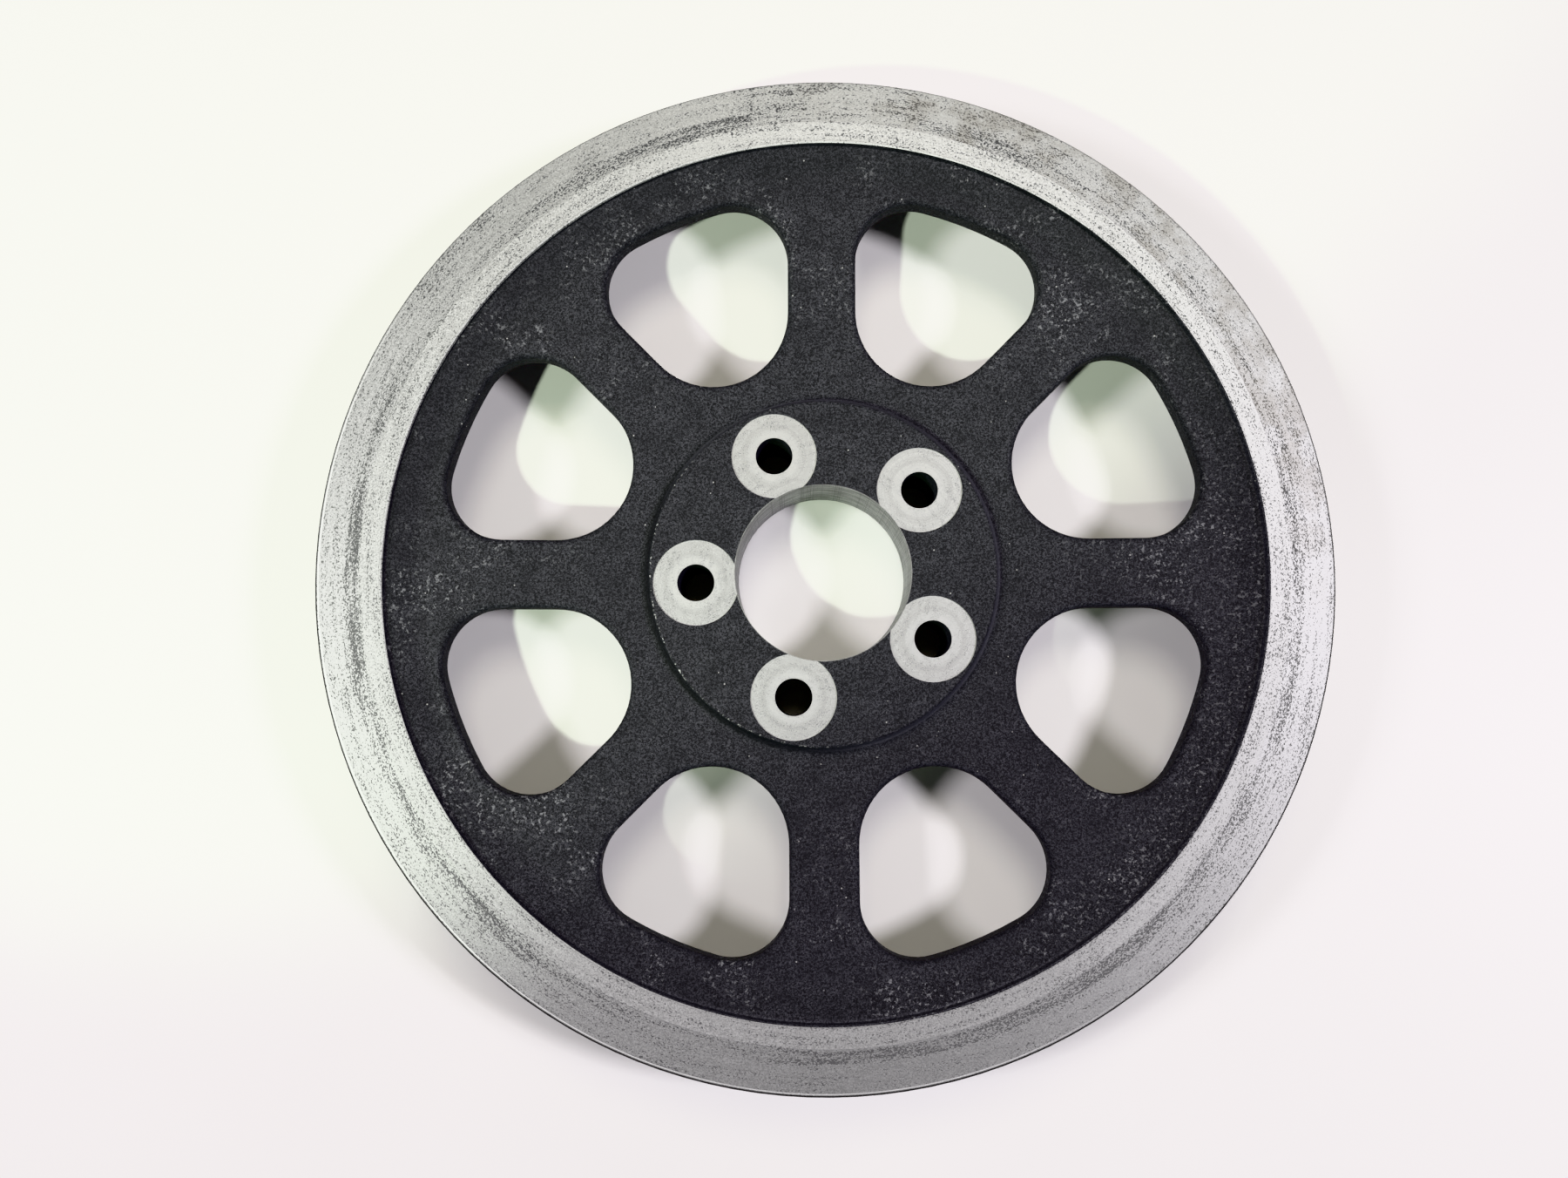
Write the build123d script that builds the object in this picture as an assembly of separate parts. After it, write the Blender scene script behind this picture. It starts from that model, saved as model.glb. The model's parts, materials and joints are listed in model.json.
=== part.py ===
"""Rear drive-belt pulley of a motorcycle, in millimetres.

+Z is the pulley's axis and points outboard, away from the road wheel. The origin is
on the axis, at the inboard face of the hub, which bears on the road wheel.
Three pieces meet face to face: the spoked casting, the toothed rim that is pressed
on it from behind, and the belt guide flange that is pressed on it from the front.
"""

from build123d import *
import os
from math import asin, cos, degrees, hypot, pi, radians, sin, tan

# ---- driving dimensions ------------------------------------------------------

# hub
BORE_R = 57.15 / 2          # centre bore, 2 1/4 inch
BORE_CHAMFER = 1.0          # lead-in at the inboard end of the bore
HUB_DISC_R = 56.2           # raised disc that carries the bolt seats
HUB_TOP_Z = 30.9            # outboard face of the disc
HUB_EDGE_R = 0.8            # worn round on the edge of the disc
HUB_DRAFT = 1.0             # the disc's wall leans out by this much at its foot
HUB_COVE_R = 3.2            # cove between the disc and the web
BOSS_R = 53.0               # boss behind the web, at the inboard face
BOSS_CHAMFER = 1.2
BOSS_ROOT_R = 57.5          # the same boss where it runs into the web
BOSS_COVE_R = 5.0

# bolts
BOLT_CIRCLE_D = 82.55       # 3 1/4 inch
BOLT_COUNT = 5
BOLT_HOLE_D = 12.0
BOLT_PHASE = 112.5          # one bolt stands on the centre line of a window
SEAT_R = 13.9               # spot face around each hole
SEAT_Z = 30.5               # plane of the spot faces

# web and windows: a shallow cone that rises towards the rim
WEB_SLOPE = 4.6
WEB_FRONT_Z = 26.8          # front face at the edge of the hub disc
WEB_BACK_Z = 18.5           # back face at the boss root
WINDOW_COUNT = 8
SPOKE_HALF_W = 11.2         # half the width of a spoke, which has parallel sides
WINDOW_INNER_R = 69.5       # nearest point of a window to the axis
WINDOW_OUTER_R = 126.4      # the outer edge is an arc about the axis
WINDOW_CORNER_R = 18.0      # outer corners
WINDOW_FRONT_ROUND = 2.0    # round on the outboard edge of a window
WINDOW_BACK_ROUND = 1.2

# rise from the web to the rim: a steeper cone, then a small turned step up to the land
DISH_ANGLE = 27.0
DISH_ARC_R = 12.0           # blend between the web and this cone
DISH_TOP_R = 139.8
DISH_TOP_Z = 37.3

# bare land at the top of the casting, and the registers of the two rings
LAND_INNER_R = 140.2
LAND_INNER_Z = 38.85
LAND_OUTER_Z = 38.8
LAND_EDGE = 0.35            # small edge break inside the land
FLANGE_REGISTER_R = 147.3
RIM_REGISTER_R = 143.5
SHOULDER_Z = 32.0           # face where both rings meet the casting
SPIGOT_END_Z = 11.5
SPIGOT_INNER_R = 138.0
SPIGOT_COVE_R = 4.5

# belt teeth: 14 mm pitch, for a belt 28.6 mm (1 1/8 inch) wide
TOOTH_COUNT = 70
BELT_PITCH = 14.0
PITCH_LINE_OFFSET = 1.4     # the belt's pitch line lies this far above the tooth tips
GROOVE_DEPTH = 6.1
GROOVE_R = 4.4              # rounded bottom of a groove
TOOTH_TIP_R = 1.2
TOOTH_FACE = 30.0           # length of the teeth along the axis; ends outboard of the hub face
RIM_CHAMFER = 0.8

# guide flange
FLANGE_OUTER_R = 162.5
FLANGE_INNER_Z = 38.4       # front face beside the land: a small step below it
FLANGE_OUTER_Z = 36.15      # front face at the outer edge
FLANGE_BEVEL_START_R = 156.5
FLANGE_EDGE_BACK_Z = 33.2   # back face at the outer edge, bevelled away from the belt
FLANGE_EDGE_CHAMFER = 0.6

PITCH_R = TOOTH_COUNT * BELT_PITCH / (2 * pi)
TIP_R = PITCH_R - PITCH_LINE_OFFSET
ROOT_R = TIP_R - GROOVE_DEPTH
RIM_BACK_Z = SHOULDER_Z - TOOTH_FACE
OVER = 5.0                  # how far a cutter runs past the face it cuts


def revolved(section):
    """Turn a section drawn as (radius, height) on the XZ plane about the Z axis."""
    return revolve(Plane.XZ * section, Axis.Z)


def rounded_polygon(points, rounds):
    """A closed polygon of (x, y) points with a fillet at the points named in rounds."""
    face = Polygon(*points, align=None)
    for point, radius in rounds:
        corner = face.vertices().sort_by_distance((point[0], point[1], 0))[0]
        face = fillet(corner, radius)
    return face


def web_front(r):
    """Height of the web's front face at radius r."""
    return WEB_FRONT_Z + (r - HUB_DISC_R) * tan(radians(WEB_SLOPE))


def web_back(r):
    """Height of the web's back face at radius r."""
    return WEB_BACK_Z + (r - BOSS_ROOT_R) * tan(radians(WEB_SLOPE))


def casting_section():
    """Half section of the hub, web, dish and the two ring registers."""
    # the arc replaces the corner between the web and the cone below the land
    drop = DISH_TOP_Z - web_front(DISH_TOP_R)
    corner_r = DISH_TOP_R - drop / (tan(radians(DISH_ANGLE)) - tan(radians(WEB_SLOPE)))
    disc_edge = (HUB_DISC_R, HUB_TOP_Z)
    disc_foot = (HUB_DISC_R + HUB_DRAFT, web_front(HUB_DISC_R + HUB_DRAFT))
    dish_corner = (corner_r, web_front(corner_r))
    spigot_root = (SPIGOT_INNER_R - 1.5, web_back(SPIGOT_INNER_R - 1.5))
    boss_root = (BOSS_ROOT_R, WEB_BACK_Z)
    points = [
        (BORE_R, BORE_CHAMFER),
        (BORE_R, HUB_TOP_Z),
        disc_edge,
        disc_foot,
        dish_corner,
        (DISH_TOP_R, DISH_TOP_Z),
        (LAND_INNER_R, LAND_INNER_Z),
        (LAND_INNER_R + LAND_EDGE, LAND_INNER_Z + LAND_EDGE / 2),
        (FLANGE_REGISTER_R, LAND_OUTER_Z),
        (FLANGE_REGISTER_R, SHOULDER_Z),
        (RIM_REGISTER_R, SHOULDER_Z),
        (RIM_REGISTER_R, SPIGOT_END_Z),
        (SPIGOT_INNER_R, SPIGOT_END_Z),
        spigot_root,
        boss_root,
        (BOSS_R, BOSS_CHAMFER),
        (BOSS_R - BOSS_CHAMFER, 0),
        (BORE_R + BORE_CHAMFER, 0),
    ]
    rounds = [
        (disc_edge, HUB_EDGE_R),
        (disc_foot, HUB_COVE_R),
        (dish_corner, DISH_ARC_R),
        (spigot_root, SPIGOT_COVE_R),
        (boss_root, BOSS_COVE_R),
    ]
    return rounded_polygon(points, rounds)


def window_outline():
    """One window, centred on the +X axis.

    The sides are parallel to the centre lines of the two spokes beside it, the inner
    end is the circle tangent to both sides, and the outer edge is an arc about the
    pulley's axis with a round at each end.
    """
    half = radians(180 / WINDOW_COUNT)
    inner_c = (WINDOW_INNER_R - SPOKE_HALF_W) / (1 - sin(half))
    inner_r = inner_c * sin(half) - SPOKE_HALF_W
    out = Vector(-sin(half), cos(half))
    # inner end: from one tangent point, through the nearest point, to the other
    inner_tangent = Vector(inner_c, 0) + out * inner_r
    # outer corner: tangent to the side and, from inside, to the outer arc
    reach = WINDOW_OUTER_R - WINDOW_CORNER_R
    corner_angle = half - asin((SPOKE_HALF_W + WINDOW_CORNER_R) / reach)
    corner = Vector(reach * cos(corner_angle), reach * sin(corner_angle))
    corner_on_side = corner + out * WINDOW_CORNER_R
    corner_on_arc = corner * (WINDOW_OUTER_R / reach)
    middle_angle = (degrees(corner_angle) + degrees(half) + 90) / 2
    corner_middle = corner + Vector(WINDOW_CORNER_R, 0).rotate(Axis.Z, middle_angle)

    def mirrored(point):
        return Vector(point.X, -point.Y)

    wire = Wire([
        ThreePointArc(mirrored(inner_tangent), Vector(WINDOW_INNER_R, 0), inner_tangent).edge(),
        Line(inner_tangent, corner_on_side).edge(),
        ThreePointArc(corner_on_side, corner_middle, corner_on_arc).edge(),
        ThreePointArc(corner_on_arc, Vector(WINDOW_OUTER_R, 0), mirrored(corner_on_arc)).edge(),
        ThreePointArc(mirrored(corner_on_arc), mirrored(corner_middle),
                      mirrored(corner_on_side)).edge(),
        Line(mirrored(corner_on_side), mirrored(inner_tangent)).edge(),
    ])
    return Face(wire)


def window_rims(body, height):
    """The edges of the windows that lie on the web's face given by height(r)."""

    def is_rim(edge):
        points = [edge @ t for t in (0, 0.5, 1)]
        radii = [hypot(p.X, p.Y) for p in points]
        on_face = all(abs(p.Z - height(r)) < 0.02 for p, r in zip(points, radii))
        return on_face and min(radii) > WINDOW_INNER_R - 1 and max(radii) < WINDOW_OUTER_R + 1

    return body.edges().filter_by(is_rim)


def wheel_casting():
    """Hub, web with its windows, dish and bare land: one casting, machined after coating."""
    body = revolved(casting_section())
    depth = web_front(WINDOW_OUTER_R) - WEB_BACK_Z + 2 * OVER
    cutter = extrude(Pos(0, 0, WEB_BACK_Z - OVER) * window_outline(), depth, dir=(0, 0, 1))
    for i in range(WINDOW_COUNT):
        body -= Rot(0, 0, (i + 0.5) * 360 / WINDOW_COUNT) * cutter
    body = fillet(window_rims(body, web_front), WINDOW_FRONT_ROUND)
    body = fillet(window_rims(body, web_back), WINDOW_BACK_ROUND)
    seat = Pos(0, 0, SEAT_Z) * extrude(Circle(SEAT_R), OVER)
    hole = Pos(0, 0, -OVER) * extrude(Circle(BOLT_HOLE_D / 2), HUB_TOP_Z + 2 * OVER)
    for i in range(BOLT_COUNT):
        place = Rot(0, 0, BOLT_PHASE + i * 360 / BOLT_COUNT) * Pos(BOLT_CIRCLE_D / 2, 0, 0)
        body -= place * seat
        body -= place * hole
    return body


def toothed_rim():
    """The belt's toothed ring, open behind the web."""
    ring = Circle(TIP_R) - Circle(RIM_REGISTER_R)
    groove = Circle(GROOVE_R)
    groove += Pos(GROOVE_DEPTH / 2, 0) * Rectangle(GROOVE_DEPTH, 2 * GROOVE_R)
    centre_r = ROOT_R + GROOVE_R
    for i in range(TOOTH_COUNT):
        ring -= Rot(0, 0, i * 360 / TOOTH_COUNT) * Pos(centre_r, 0) * groove
    tips = ring.vertices().filter_by(lambda v: abs(hypot(v.X, v.Y) - TIP_R) < 0.01)
    ring = fillet(tips, TOOTH_TIP_R)
    body = extrude(Pos(0, 0, RIM_BACK_Z) * ring, TOOTH_FACE)
    # break the sharp ends of the teeth and of the wall with turned chamfers
    envelope = Polygon(
        (RIM_REGISTER_R, SHOULDER_Z),
        (TIP_R, SHOULDER_Z),
        (TIP_R, RIM_BACK_Z + RIM_CHAMFER),
        (TIP_R - RIM_CHAMFER, RIM_BACK_Z),
        (RIM_REGISTER_R + RIM_CHAMFER, RIM_BACK_Z),
        (RIM_REGISTER_R, RIM_BACK_Z + RIM_CHAMFER),
        align=None,
    )
    return body & revolved(envelope)


def guide_flange():
    """The bare turned ring that keeps the belt on the teeth."""
    section = Polygon(
        (FLANGE_REGISTER_R, SHOULDER_Z),
        (FLANGE_BEVEL_START_R, SHOULDER_Z),
        (FLANGE_OUTER_R - FLANGE_EDGE_CHAMFER, FLANGE_EDGE_BACK_Z),
        (FLANGE_OUTER_R, FLANGE_EDGE_BACK_Z + FLANGE_EDGE_CHAMFER),
        (FLANGE_OUTER_R, FLANGE_OUTER_Z - FLANGE_EDGE_CHAMFER),
        (FLANGE_OUTER_R - FLANGE_EDGE_CHAMFER, FLANGE_OUTER_Z),
        (FLANGE_REGISTER_R, FLANGE_INNER_Z),
        align=None,
    )
    return revolved(section)


PARTS = {
    "wheel_casting": wheel_casting,
    "toothed_rim": toothed_rim,
    "guide_flange": guide_flange,
}

os.makedirs("parts", exist_ok=True)
for name, make in PARTS.items():
    shape = make()
    shape.label = name
    export_step(shape, f"parts/{name}.step")
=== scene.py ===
"""Looks of the rear drive-belt pulley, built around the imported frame. Metres, +Z up."""

import json
import math

import bpy
from mathutils import Matrix, Vector


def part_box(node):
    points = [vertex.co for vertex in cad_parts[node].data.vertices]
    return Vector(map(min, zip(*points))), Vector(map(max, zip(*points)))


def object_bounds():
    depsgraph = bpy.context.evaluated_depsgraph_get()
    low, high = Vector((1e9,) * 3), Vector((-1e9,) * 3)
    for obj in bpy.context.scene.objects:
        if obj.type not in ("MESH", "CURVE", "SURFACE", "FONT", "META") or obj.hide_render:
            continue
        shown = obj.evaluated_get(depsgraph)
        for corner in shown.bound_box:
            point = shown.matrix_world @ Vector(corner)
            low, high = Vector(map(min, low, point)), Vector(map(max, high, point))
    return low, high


MM = 0.001      # Blender's metres per millimetre

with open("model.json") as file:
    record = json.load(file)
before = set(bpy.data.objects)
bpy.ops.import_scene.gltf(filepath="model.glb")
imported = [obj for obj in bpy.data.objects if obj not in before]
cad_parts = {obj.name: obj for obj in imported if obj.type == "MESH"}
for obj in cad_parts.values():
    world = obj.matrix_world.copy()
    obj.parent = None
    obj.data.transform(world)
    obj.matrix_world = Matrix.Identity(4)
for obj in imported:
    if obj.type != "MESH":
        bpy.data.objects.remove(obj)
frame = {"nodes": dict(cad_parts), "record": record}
cad_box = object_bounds()

# ---- places taken from the frame ------------------------------------------------

MOUNTS = {m["name"]: m for m in frame["record"]["mounts"]}
BOLTS = MOUNTS["wheel_bolts"]["dims"]
BOLT_CIRCLE_R = BOLTS["pcd_mm"] / 2 * MM
BOLT_HOLE_R = BOLTS["hole_r_mm"] * MM
BOLT_COUNT = BOLTS["count"]
BOLT_PHASE = math.radians(112.5)    # of the first bolt hole, from +X
BORE_R = MOUNTS["centre_bore"]["dims"]["r_mm"] * MM
SEAT_Z = MOUNTS["bolt_seats"]["pos_m"][2]
SEAT_R = 13.9 * MM           # machined spot face round a bolt hole
HUB_DISC_R = 56.2 * MM
HUB_TOP_Z = SEAT_Z + 0.4 * MM
DISH_TOP_R = 139.8 * MM      # foot of the step up to the land
LAND_R = 140.4 * MM          # where the coat stops, cut back a little off centre
LAND_CENTRE = (0.35 * MM, -0.25 * MM)
REGISTER_R = 147.3 * MM      # where the guide flange starts
FLANGE_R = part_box("guide_flange")[1].x
TIP_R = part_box("toothed_rim")[1].x
FLOOR_Z = cad_box[0][2]


# ---- camera ---------------------------------------------------------------------


def make_camera():
    """A wide lens above the pulley, a little towards the near side."""
    eye = Vector((-0.00961, -0.04106, 0.4223))
    target = Vector((-0.01265, -0.00533, 0.0305))
    data = bpy.data.cameras.new("camera")
    data.sensor_width = 36.0
    data.lens = 28.0
    data.clip_start = 0.01
    camera = bpy.data.objects.new("camera", data)
    # the picture's up is +Y, but for a small turn about the line of sight
    back = (eye - target).normalized()
    right = Vector((0.002, 1.0, 0.0)).cross(back).normalized()
    camera.rotation_mode = "QUATERNION"
    camera.rotation_quaternion = Matrix((right, back.cross(right), back)).transposed().to_quaternion()
    camera.location = eye
    bpy.context.scene.collection.objects.link(camera)
    bpy.context.scene.camera = camera


# ---- shader helper --------------------------------------------------------------


class Shader:
    """Builds one node material with short calls. Each call returns an output socket."""

    def __init__(self, name):
        self.material = bpy.data.materials.new(name)
        self.material.use_nodes = True
        self.nodes = self.material.node_tree.nodes
        self.links = self.material.node_tree.links
        self.surface = self.nodes["Principled BSDF"]
        self.place = self.add("ShaderNodeTexCoord").outputs["Object"]

    def add(self, kind, **settings):
        node = self.nodes.new(kind)
        for key, value in settings.items():
            setattr(node, key, value)
        return node

    def put(self, socket, value):
        """Link an output, or set a plain number or colour."""
        if isinstance(value, bpy.types.NodeSocket):
            self.links.new(value, socket)
        else:
            socket.default_value = value

    def math(self, operation, a, b=0.0, c=0.0):
        node = self.add("ShaderNodeMath", operation=operation)
        for socket, value in zip(node.inputs, (a, b, c)):
            self.put(socket, value)
        return node.outputs[0]

    def axes(self):
        """The x, y and z of the point being shaded."""
        node = self.add("ShaderNodeSeparateXYZ")
        self.put(node.inputs[0], self.place)
        return node.outputs[0], node.outputs[1], node.outputs[2]

    def vector(self, x, y, z=0.0):
        node = self.add("ShaderNodeCombineXYZ")
        for socket, value in zip(node.inputs, (x, y, z)):
            self.put(socket, value)
        return node.outputs[0]

    def noise(self, scale, detail=2.0, rough=0.5, vector=None, distortion=0.0):
        node = self.add("ShaderNodeTexNoise")
        self.put(node.inputs["Vector"], vector or self.place)
        self.put(node.inputs["Scale"], scale)
        self.put(node.inputs["Detail"], detail)
        self.put(node.inputs["Roughness"], rough)
        self.put(node.inputs["Distortion"], distortion)
        return node.outputs["Fac"]

    def cells(self, scale):
        """Distance to the nearest of many scattered points."""
        node = self.add("ShaderNodeTexVoronoi")
        self.put(node.inputs["Vector"], self.place)
        self.put(node.inputs["Scale"], scale)
        return node.outputs["Distance"]

    def ramp(self, value, low, high, out_low=0.0, out_high=1.0):
        """A smooth step from out_low at low to out_high at high."""
        node = self.add("ShaderNodeMapRange", interpolation_type="SMOOTHSTEP")
        for socket, item in zip(node.inputs, (value, low, high, out_low, out_high)):
            self.put(socket, item)
        return node.outputs[0]

    def band(self, value, low, high, soft):
        """1 between low and high, fading to 0 over soft on each side."""
        up = self.ramp(value, low - soft, low + soft)
        down = self.ramp(value, high - soft, high + soft, 1.0, 0.0)
        return self.product(up, down)

    def mix(self, factor, a, b):
        """Blend two colours, or two numbers."""
        is_colour = any(isinstance(v, tuple) or getattr(v, "type", "") == "RGBA" for v in (a, b))
        node = self.add("ShaderNodeMix", data_type="RGBA" if is_colour else "FLOAT")
        pick = [s for s in node.inputs if s.enabled]
        self.put(pick[0], factor)
        self.put(pick[1], a)
        self.put(pick[2], b)
        return next(s for s in node.outputs if s.enabled)

    def bump(self, height, distance, strength=1.0):
        node = self.add("ShaderNodeBump")
        self.put(node.inputs["Height"], height)
        node.inputs["Strength"].default_value = strength
        node.inputs["Distance"].default_value = distance
        return node.outputs[0]

    def radius(self):
        """Distance from the pulley's axis."""
        x, y, _ = self.axes()
        return self.math("SQRT", self.math("MULTIPLY_ADD", x, x, self.math("MULTIPLY", y, y)))

    def product(self, first, *others):
        """Several values multiplied together."""
        for other in others:
            first = self.math("MULTIPLY", first, other)
        return first

    def finish(self, **inputs):
        """Set the surface's inputs, with spaces in their names written as underscores."""
        for key, value in inputs.items():
            self.put(self.surface.inputs[key.replace("_", " ")], value)
        return self.material


VIOLET = (0.95, 0.968, 1.13)    # the coat
CHALKY = (0.96, 0.98, 1.06)     # oxide that has come through it
COOL = (0.985, 1.0, 1.01)       # bare aluminium
BLUISH = (0.96, 0.99, 1.08)     # the bottoms of its pits
BROWN = (1.08, 1.0, 0.86)       # a stain on it


def grey(value, tint=(1.0, 1.0, 1.0)):
    """A colour given as linear brightness and tint."""
    return (value * tint[0], value * tint[1], value * tint[2], 1.0)


# ---- distances and coordinates on the object ---------------------------------------


def plan_distance(s, x0, y0):
    """Distance in plan from (x0, y0)."""
    x, y, _ = s.axes()
    node = s.add("ShaderNodeVectorMath", operation="DISTANCE")
    s.put(node.inputs[0], s.vector(x, y))
    node.inputs[1].default_value = (x0, y0, 0)
    return node.outputs["Value"]


def bolt_distance(s):
    """Distance in plan to the nearest bolt axis."""
    nearest = None
    for i in range(BOLT_COUNT):
        angle = BOLT_PHASE + i * 2 * math.pi / BOLT_COUNT
        distance = plan_distance(s, BOLT_CIRCLE_R * math.cos(angle), BOLT_CIRCLE_R * math.sin(angle))
        nearest = distance if nearest is None else s.math("MINIMUM", nearest, distance)
    return nearest


def turned_lines(s, radius, per_mm, seed):
    """Concentric tool marks: noise along the radius, broken up slowly round the circle."""
    x, y, _ = s.axes()
    angle = s.math("ARCTAN2", y, x)
    line = s.vector(s.product(radius, per_mm / MM), s.product(angle, 1.2), seed)
    return s.noise(1.0, 3.0, 0.6, line)


def streaked(s, radius, radial, around, seed):
    """Coordinates for marks that are `radial` mm long across the ring and `around` mm along it."""
    x, y, _ = s.axes()
    angle = s.math("ARCTAN2", y, x)
    # sine and cosine keep the pattern whole where the angle wraps
    marks_per_radius = FLANGE_R / MM / around
    round_x = s.product(s.math("COSINE", angle), marks_per_radius)
    round_y = s.product(s.math("SINE", angle), marks_per_radius)
    return s.vector(round_x, round_y, s.math("MULTIPLY_ADD", radius, 1 / MM / radial, seed))


# ---- materials ----------------------------------------------------------------------


def weathered_metal_and_painted_light(s, radius, pitted, bright):
    """Bare turned aluminium: fine tool lines, a dull bloom and gritty grey pits, with a painted
    highlight at the far right and painted shade on the near side.

    pitted is how thickly the pits lie, 0 to 1, and bright is the clean metal's value.
    Returns the colour, the roughness and the height.
    """
    fine = turned_lines(s, radius, 3.4, 1.0)
    bloom = s.noise(1.0, 3.0, 0.6, streaked(s, radius, 2.2, 9.0, 5.0))
    grain = s.noise(2100.0, 2.0, 0.6)
    metal = s.mix(s.ramp(grain, 0.36, 0.64), grey(bright * 0.72, COOL), grey(bright * 1.2, COOL))
    metal = s.mix(s.ramp(bloom, 0.35, 0.75, 0.0, 0.4), metal, grey(bright * 0.80, COOL))
    metal = s.mix(s.ramp(fine, 0.45, 0.75, 0.0, 0.35), metal, grey(bright * 0.72, COOL))

    # pits: small, a little longer along the circle, and gathered in soft streaks
    pit = s.noise(1.0, 3.0, 0.62, streaked(s, radius, 0.42, 0.75, 3.0))
    gather = s.noise(1.0, 3.0, 0.6, streaked(s, radius, 1.5, 24.0, 9.0))
    level = s.math("ADD", s.ramp(gather, 0.35, 0.66, 0.0, 0.10), pit)
    level = s.math("MULTIPLY_ADD", pitted, 0.125, level)
    pits = s.ramp(level, 0.61, 0.73)
    metal = s.mix(s.product(pits, 0.9), metal, grey(0.065, BLUISH))

    # painted highlight: the metal is lightened towards the far right side, except in its pits
    x, y, _ = s.axes()
    painted_highlight_far_right = s.ramp(s.math("MULTIPLY_ADD", y, 0.7, x), -0.06, 0.16, 0.0, 0.3)
    metal = s.mix(s.product(painted_highlight_far_right, s.math("SUBTRACT", 1.0, pits)), metal, grey(0.85, COOL))
    # painted shade: the metal is darkened on the near side, right and left
    painted_shade_near_right = s.ramp(s.math("SUBTRACT", s.product(x, 0.7), y), 0.04, 0.17, 0.0, 0.40)
    painted_shade_near_left = s.ramp(s.math("MULTIPLY_ADD", y, 0.7, x), -0.06, -0.17, 0.0, 0.24)
    metal = s.mix(s.math("MAXIMUM", painted_shade_near_right, painted_shade_near_left), metal, grey(bright * 0.62, COOL))
    rough = s.math("ADD", s.ramp(grain, 0.3, 0.7, 0.58, 0.66), s.product(pits, 0.15))
    height = s.math("SUBTRACT", s.product(grain, 0.5), pits)
    return metal, rough, height


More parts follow.
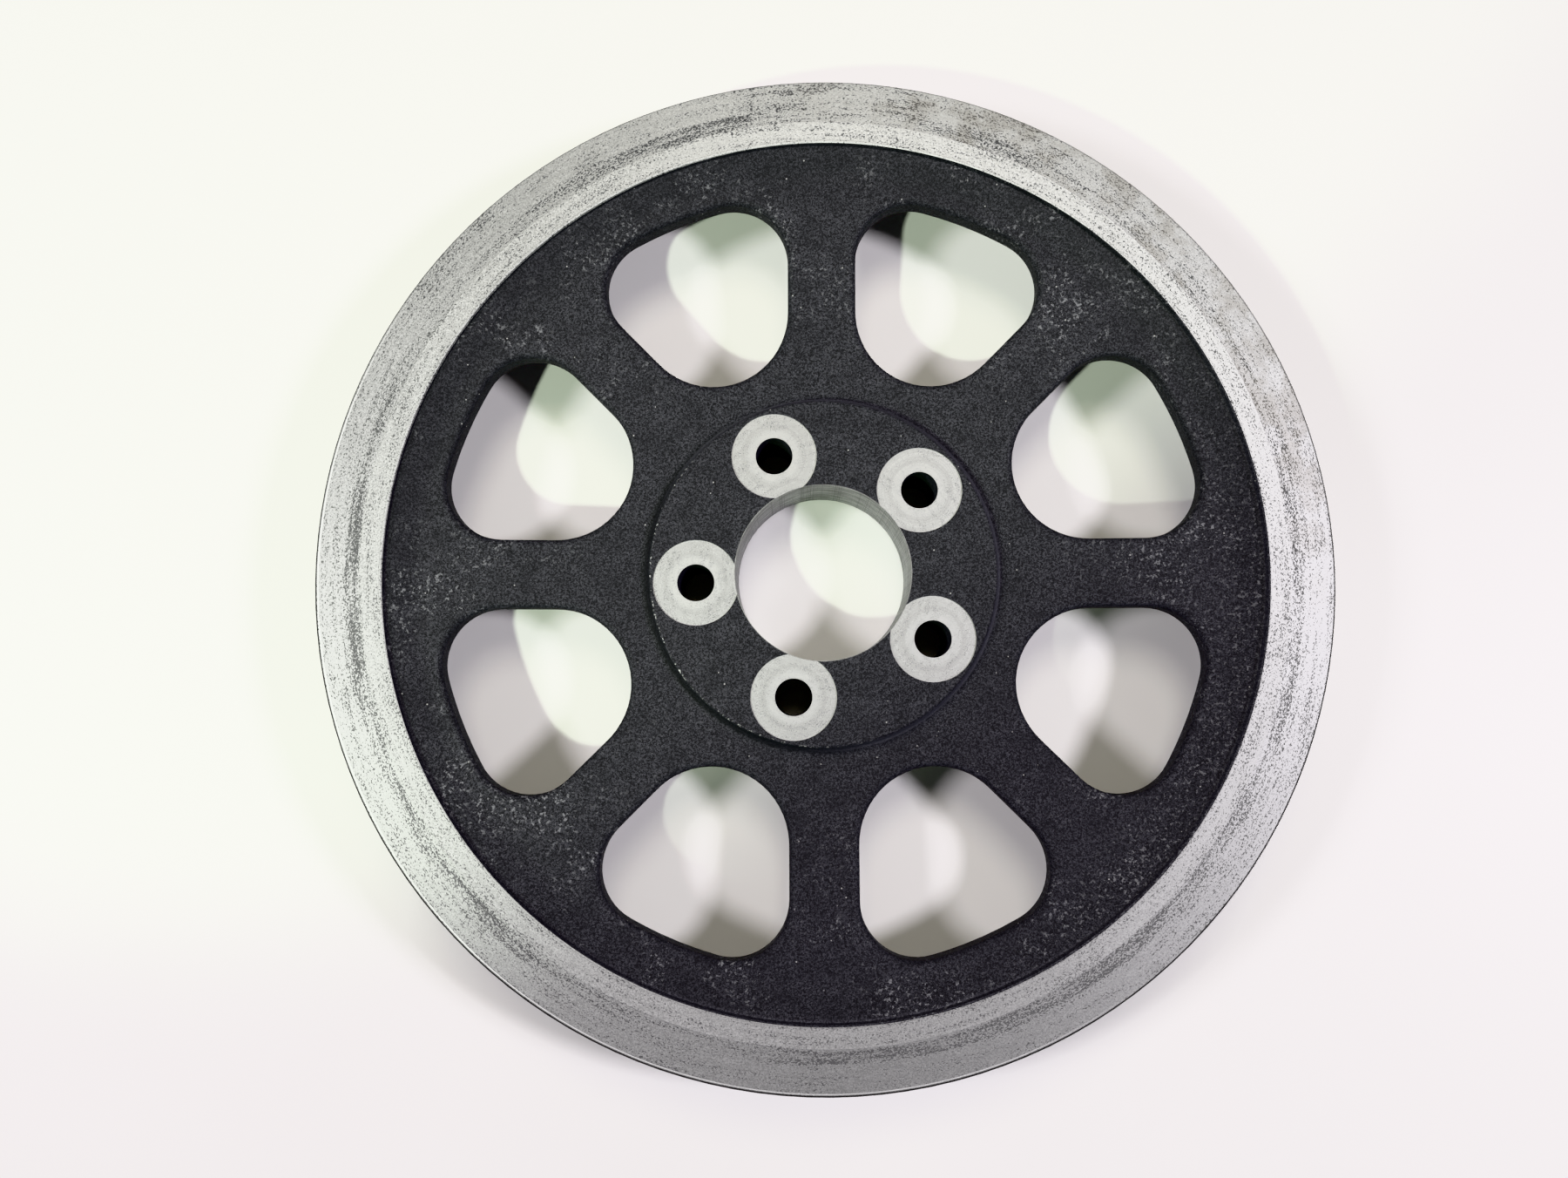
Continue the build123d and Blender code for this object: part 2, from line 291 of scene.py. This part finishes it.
def coated_casting():
    """Black textured powder coat, cut back to bare metal where the casting was machined."""
    s = Shader("coated_casting")
    x, y, z = s.axes()
    radius = s.radius()
    bolt = bolt_distance(s)

    # where the metal is bare
    near_seat_plane = s.band(z, SEAT_Z - 0.15 * MM, SEAT_Z + 0.15 * MM, 0.05 * MM)
    in_seat = s.math("LESS_THAN", bolt, SEAT_R + 0.1 * MM)
    seat = s.product(near_seat_plane, in_seat)
    bore = s.math("LESS_THAN", radius, BORE_R + 0.15 * MM)
    land = s.math("GREATER_THAN", plan_distance(s, *LAND_CENTRE), LAND_R)
    back = s.math("LESS_THAN", z, 0.1 * MM)
    # the hub disc's edge is rubbed through in places, at the near left
    chips = s.ramp(s.noise(900.0, 3.0, 0.6), 0.56, 0.62)
    near_left = s.ramp(s.math("MULTIPLY_ADD", y, 0.6, x), -0.01, -0.05)
    edge = s.band(radius, HUB_DISC_R - 0.5 * MM, HUB_DISC_R + 0.05 * MM, 0.15 * MM)
    on_top = s.math("GREATER_THAN", z, HUB_TOP_Z - 0.5 * MM)
    worn = s.product(edge, near_left, on_top, chips)
    machined = s.math("MAXIMUM", s.math("MAXIMUM", seat, bore), s.math("MAXIMUM", land, back))
    bare = s.math("MAXIMUM", machined, worn)

    # the coat: fine sandy texture, with a finer grain on top
    sand = s.noise(1400.0, 3.0, 0.7)
    grain = s.noise(3200.0, 2.0, 0.6)
    lumps = s.noise(130.0, 3.0, 0.6)
    tone = s.ramp(s.math("MULTIPLY_ADD", grain, 0.8, sand), 0.74, 1.12)
    coat = s.mix(tone, grey(0.013, VIOLET), grey(0.068, VIOLET))
    coat = s.mix(s.ramp(lumps, 0.35, 0.7, 0.0, 0.35), coat, grey(0.016, VIOLET))

    # whitish oxidation, in clusters of small flecks on the outer web and the spoke roots
    flecks = s.ramp(s.noise(760.0, 3.0, 0.7), 0.56, 0.64)
    cluster = s.ramp(s.noise(42.0, 4.0, 0.7, distortion=0.6), 0.47, 0.64)
    outer = s.ramp(radius, 66 * MM, 118 * MM, 0.12, 1.0)
    oxide = s.product(flecks, cluster, outer)
    coat = s.mix(s.product(oxide, 0.75), coat, grey(0.22, CHALKY))

    # painted shade darkens the coat in the corner of the dish at the far side; the same corner is
    # speckled with oxide at the right
    corner = s.ramp(radius, 116 * MM, 134 * MM)
    painted_shade_far_side = s.ramp(y, -0.03, 0.06, 0.0, 0.25)
    coat = s.mix(s.product(corner, painted_shade_far_side), coat, grey(0.014, VIOLET))
    right_side = s.ramp(s.math("MULTIPLY_ADD", y, -0.4, x), 0.09, 0.14, 0.0, 0.5)
    coat = s.mix(s.product(corner, right_side, flecks), coat, grey(0.17, CHALKY))

    # painted light: the coat is lightened in grainy specks along the foot of the land's step, on the
    # near and right sides, where the step would shade it
    step = s.band(radius, DISH_TOP_R - 0.6 * MM, LAND_R, 0.5 * MM)
    painted_light_near_right = s.ramp(s.math("SUBTRACT", x, y), 0.0, 0.10, 0.0, 0.6)
    on_grains = s.ramp(tone, 0.0, 1.0, 0.3, 1.0)
    coat = s.mix(s.product(step, painted_light_near_right, on_grains), coat, grey(0.085, VIOLET))

    # the steep wall of the hub disc: painted light lightens it, most at the far right, and a painted
    # shadow darkens its foot at the near left
    wall = s.band(radius, HUB_DISC_R, HUB_DISC_R + 1.4 * MM, 0.3 * MM)
    painted_light_on_wall = s.math("SUBTRACT", 0.5, s.product(near_left, 0.4))
    coat = s.mix(s.product(wall, painted_light_on_wall), coat, grey(0.11, VIOLET))
    foot = s.band(radius, HUB_DISC_R + 0.3 * MM, HUB_DISC_R + 2.2 * MM, 0.6 * MM)
    coat = s.mix(s.product(foot, near_left, 0.6), coat, grey(0.010, VIOLET))

    # sparse specks of dust
    speck = s.ramp(s.cells(300.0), 0.04, 0.09, 1.0, 0.0)
    some = s.math("GREATER_THAN", s.noise(210.0, 0.0, 0.5), 0.62)
    coat = s.mix(s.product(speck, some, 0.7), coat, grey(0.5))

    # bare metal, with rings round each bolt hole where the heads have rubbed
    metal, metal_rough, metal_height = weathered_metal_and_painted_light(s, radius, s.product(land, 0.2), 0.47)
    rings = s.noise(1.0, 2.0, 0.6, s.vector(s.product(bolt, 1.8 / MM), s.product(x, 60.0)))
    seat_metal = s.mix(s.ramp(rings, 0.35, 0.7, 0.3, 1.0), metal, grey(0.42, COOL))
    burnish = s.band(bolt, BOLT_HOLE_R, 8.4 * MM, 0.9 * MM)
    seat_metal = s.mix(s.product(burnish, 0.6), seat_metal, grey(0.50, COOL))
    tarnish = s.band(bolt, 9.3 * MM, 10.6 * MM, 0.7 * MM)
    seat_metal = s.mix(s.product(tarnish, 0.2), seat_metal, grey(0.30, COOL))
    # painted highlight: a bright thin line just inside the rim of each spot face
    rim = s.band(bolt, SEAT_R - 0.35 * MM, SEAT_R - 0.05 * MM, 0.1 * MM)
    seat_metal = s.mix(s.product(rim, 0.7), seat_metal, grey(0.52, COOL))
    metal = s.mix(seat, metal, seat_metal)
    # the bore is streaked along its tool marks
    along_marks = s.vector(s.product(x, 120.0), s.product(y, 120.0), s.product(z, 900.0))
    bore_streak = s.ramp(s.noise(1.0, 3.0, 0.6, along_marks), 0.35, 0.65, 0.25, 0.8)
    metal = s.mix(s.product(bore, bore_streak), metal, grey(0.14, COOL))
    # a fine turned line just inside the land's edge
    score = s.band(radius, LAND_R + 0.55 * MM, LAND_R + 0.65 * MM, 0.1 * MM)
    metal = s.mix(s.product(score, 0.55), metal, grey(0.12))

    height = s.mix(bare, s.math("MULTIPLY_ADD", grain, 0.5, sand), s.product(metal_height, 0.25))
    return s.finish(
        Base_Color=s.mix(bare, coat, metal),
        Metallic=s.math("MULTIPLY_ADD", land, -0.3, bare),
        Roughness=s.mix(bare, s.mix(oxide, 0.72, 0.9), metal_rough),
        Normal=s.bump(height, 0.12 * MM, 0.9),
        Specular_IOR_Level=0.22,
    )


def turned_flange():
    """The guide flange: bare, dulled and pitted, most of all in a band beside the land."""
    s = Shader("turned_flange")
    radius = s.radius()
    x, y, _ = s.axes()
    inner = s.band(radius, REGISTER_R + 0.5 * MM, REGISTER_R + 5.3 * MM, 1.0 * MM)
    wander = s.ramp(s.noise(16.0, 2.0, 0.5), 0.35, 0.6, 0.3, 1.0)
    less_at_right = s.ramp(x, 0.10, 0.15, 1.0, 0.5)
    inner = s.product(inner, wander, less_at_right)
    # whole patches are eaten, most of all at the far side
    patch = s.ramp(s.noise(45.0, 3.0, 0.6), 0.42, 0.66, 0.0, 0.75)
    far = s.ramp(y, 0.06, 0.15, 0.35, 1.0)
    pitted = s.math("MAXIMUM", inner, s.product(patch, far))
    metal, rough, height = weathered_metal_and_painted_light(s, radius, pitted, 0.455)

    # a brownish stain on the far right of the ring
    far_right = s.ramp(s.math("ADD", x, y), 0.13, 0.20)
    blotches = s.ramp(s.noise(90.0, 3.0, 0.6), 0.42, 0.62)
    metal = s.mix(s.product(far_right, blotches, 0.35), metal, grey(0.24, BROWN))
    # the rubbed line along the outer edge
    rubbed = s.band(radius, FLANGE_R - 1.3 * MM, FLANGE_R - 1.0 * MM, 0.12 * MM)
    near_left = s.ramp(s.math("ADD", x, y), -0.02, -0.12)
    metal = s.mix(s.product(rubbed, near_left), metal, grey(0.8, COOL))
    # painted shadow: a dark line outside it, on the bevel of the outer edge, strongest at the near
    # side
    painted_edge_shadow = s.ramp(radius, FLANGE_R - 0.85 * MM, FLANGE_R - 0.6 * MM)
    near = s.ramp(y, 0.14, -0.02, 0.3, 0.95)
    metal = s.mix(s.product(painted_edge_shadow, near), metal, grey(0.03))
    return s.finish(
        Base_Color=metal,
        Metallic=0.78,
        Roughness=rough,
        Normal=s.bump(height, 0.05 * MM, 0.8),
    )


def rim_aluminium():
    """Hard grey teeth, polished at the tips by the belt and dusty in the grooves."""
    s = Shader("rim_aluminium")
    radius = s.radius()
    mottle = s.noise(300.0, 4.0, 0.65)
    metal = s.mix(s.ramp(mottle, 0.3, 0.7), grey(0.22), grey(0.32))
    tip = s.ramp(radius, TIP_R - 1.2 * MM, TIP_R - 0.2 * MM)
    metal = s.mix(tip, metal, grey(0.55))
    root = s.ramp(radius, TIP_R - 6.0 * MM, TIP_R - 3.0 * MM, 0.7, 0.0)
    in_grooves = s.math("GREATER_THAN", radius, REGISTER_R - 1.3 * MM)
    metal = s.mix(s.product(root, in_grooves), metal, grey(0.05))
    return s.finish(
        Base_Color=metal,
        Metallic=0.9,
        Roughness=s.mix(tip, 0.6, 0.35),
        Normal=s.bump(mottle, 0.03 * MM),
    )


def floor_paint():
    """The pale bench top, very slightly cloudy."""
    s = Shader("floor_paint")
    cloud = s.noise(5.0, 3.0, 0.5)
    return s.finish(
        Base_Color=s.mix(s.ramp(cloud, 0.3, 0.7), grey(0.82), grey(0.86)),
        Roughness=0.45,
    )


# ---- studio ---------------------------------------------------------------------------


def make_floor():
    """A plain square, a hair below the hub's face."""
    mesh = bpy.data.meshes.new("floor")
    half = 1.6
    height = FLOOR_Z - 0.2 * MM
    corners = [(-half, -half), (half, -half), (half, half), (-half, half)]
    mesh.from_pydata([(x, y, height) for x, y in corners], [], [(0, 1, 2, 3)])
    mesh.materials.append(floor_paint())
    floor = bpy.data.objects.new("floor", mesh)
    bpy.context.scene.collection.objects.link(floor)


def aimed_light(data, towards, distance, aim, power, colour):
    """Hang a light in direction `towards` from the hub, pointing at `aim`."""
    data.energy = power
    data.color = colour
    light = bpy.data.objects.new(data.name, data)
    light.location = Vector((0, 0, SEAT_Z)) + Vector(towards).normalized() * distance
    light.rotation_mode = "QUATERNION"
    light.rotation_quaternion = (Vector(aim) - light.location).to_track_quat("-Z", "Y")
    bpy.context.scene.collection.objects.link(light)


def soft_light(name, towards, distance, size, power, colour):
    """A round soft lamp aimed at the hub."""
    data = bpy.data.lights.new(name, "AREA")
    data.shape = "DISK"
    data.size = size
    aimed_light(data, towards, distance, (0, 0, SEAT_Z), power, colour)


def near_key():
    """The smaller lamp at the near left. Its cone falls short of the near right of the pulley."""
    data = bpy.data.lights.new("near_key", "SPOT")
    data.shadow_soft_size = 0.03
    data.spot_size = math.radians(36.6)
    data.spot_blend = 0.3
    aimed_light(data, (-0.62, -0.55, 1.0), 1.35, (-0.166, 0.364, 0), 50.0, (0.87, 1.0, 0.77))


def make_lights():
    """The four lamps and a weak even light from all round."""
    soft_light("right_soft", (0.90, -0.06, 1.0), 1.3, 0.24, 13.2, (0.98, 0.93, 0.985))
    soft_light("left_soft", (-0.96, -0.10, 1.0), 1.3, 0.30, 10.6, (1.0, 0.95, 0.98))
    soft_light("far_soft", (0.0, 0.48, 1.0), 1.4, 0.6, 6.6, (1.0, 0.94, 0.80))
    near_key()
    world = bpy.data.worlds.new("studio")
    world.use_nodes = True
    background = world.node_tree.nodes["Background"]
    background.inputs["Color"].default_value = (1.0, 0.99, 0.98, 1.0)
    background.inputs["Strength"].default_value = 0.08
    bpy.context.scene.world = world


# ---- assembly -------------------------------------------------------------------------

make_camera()
make_floor()
make_lights()

FINISHES = {
    "wheel_casting": coated_casting,
    "toothed_rim": rim_aluminium,
    "guide_flange": turned_flange,
}
for node, make in FINISHES.items():
    materials = frame["nodes"][node].data.materials
    materials.clear()
    materials.append(make())

bpy.context.scene.view_settings.view_transform = "Khronos PBR Neutral"
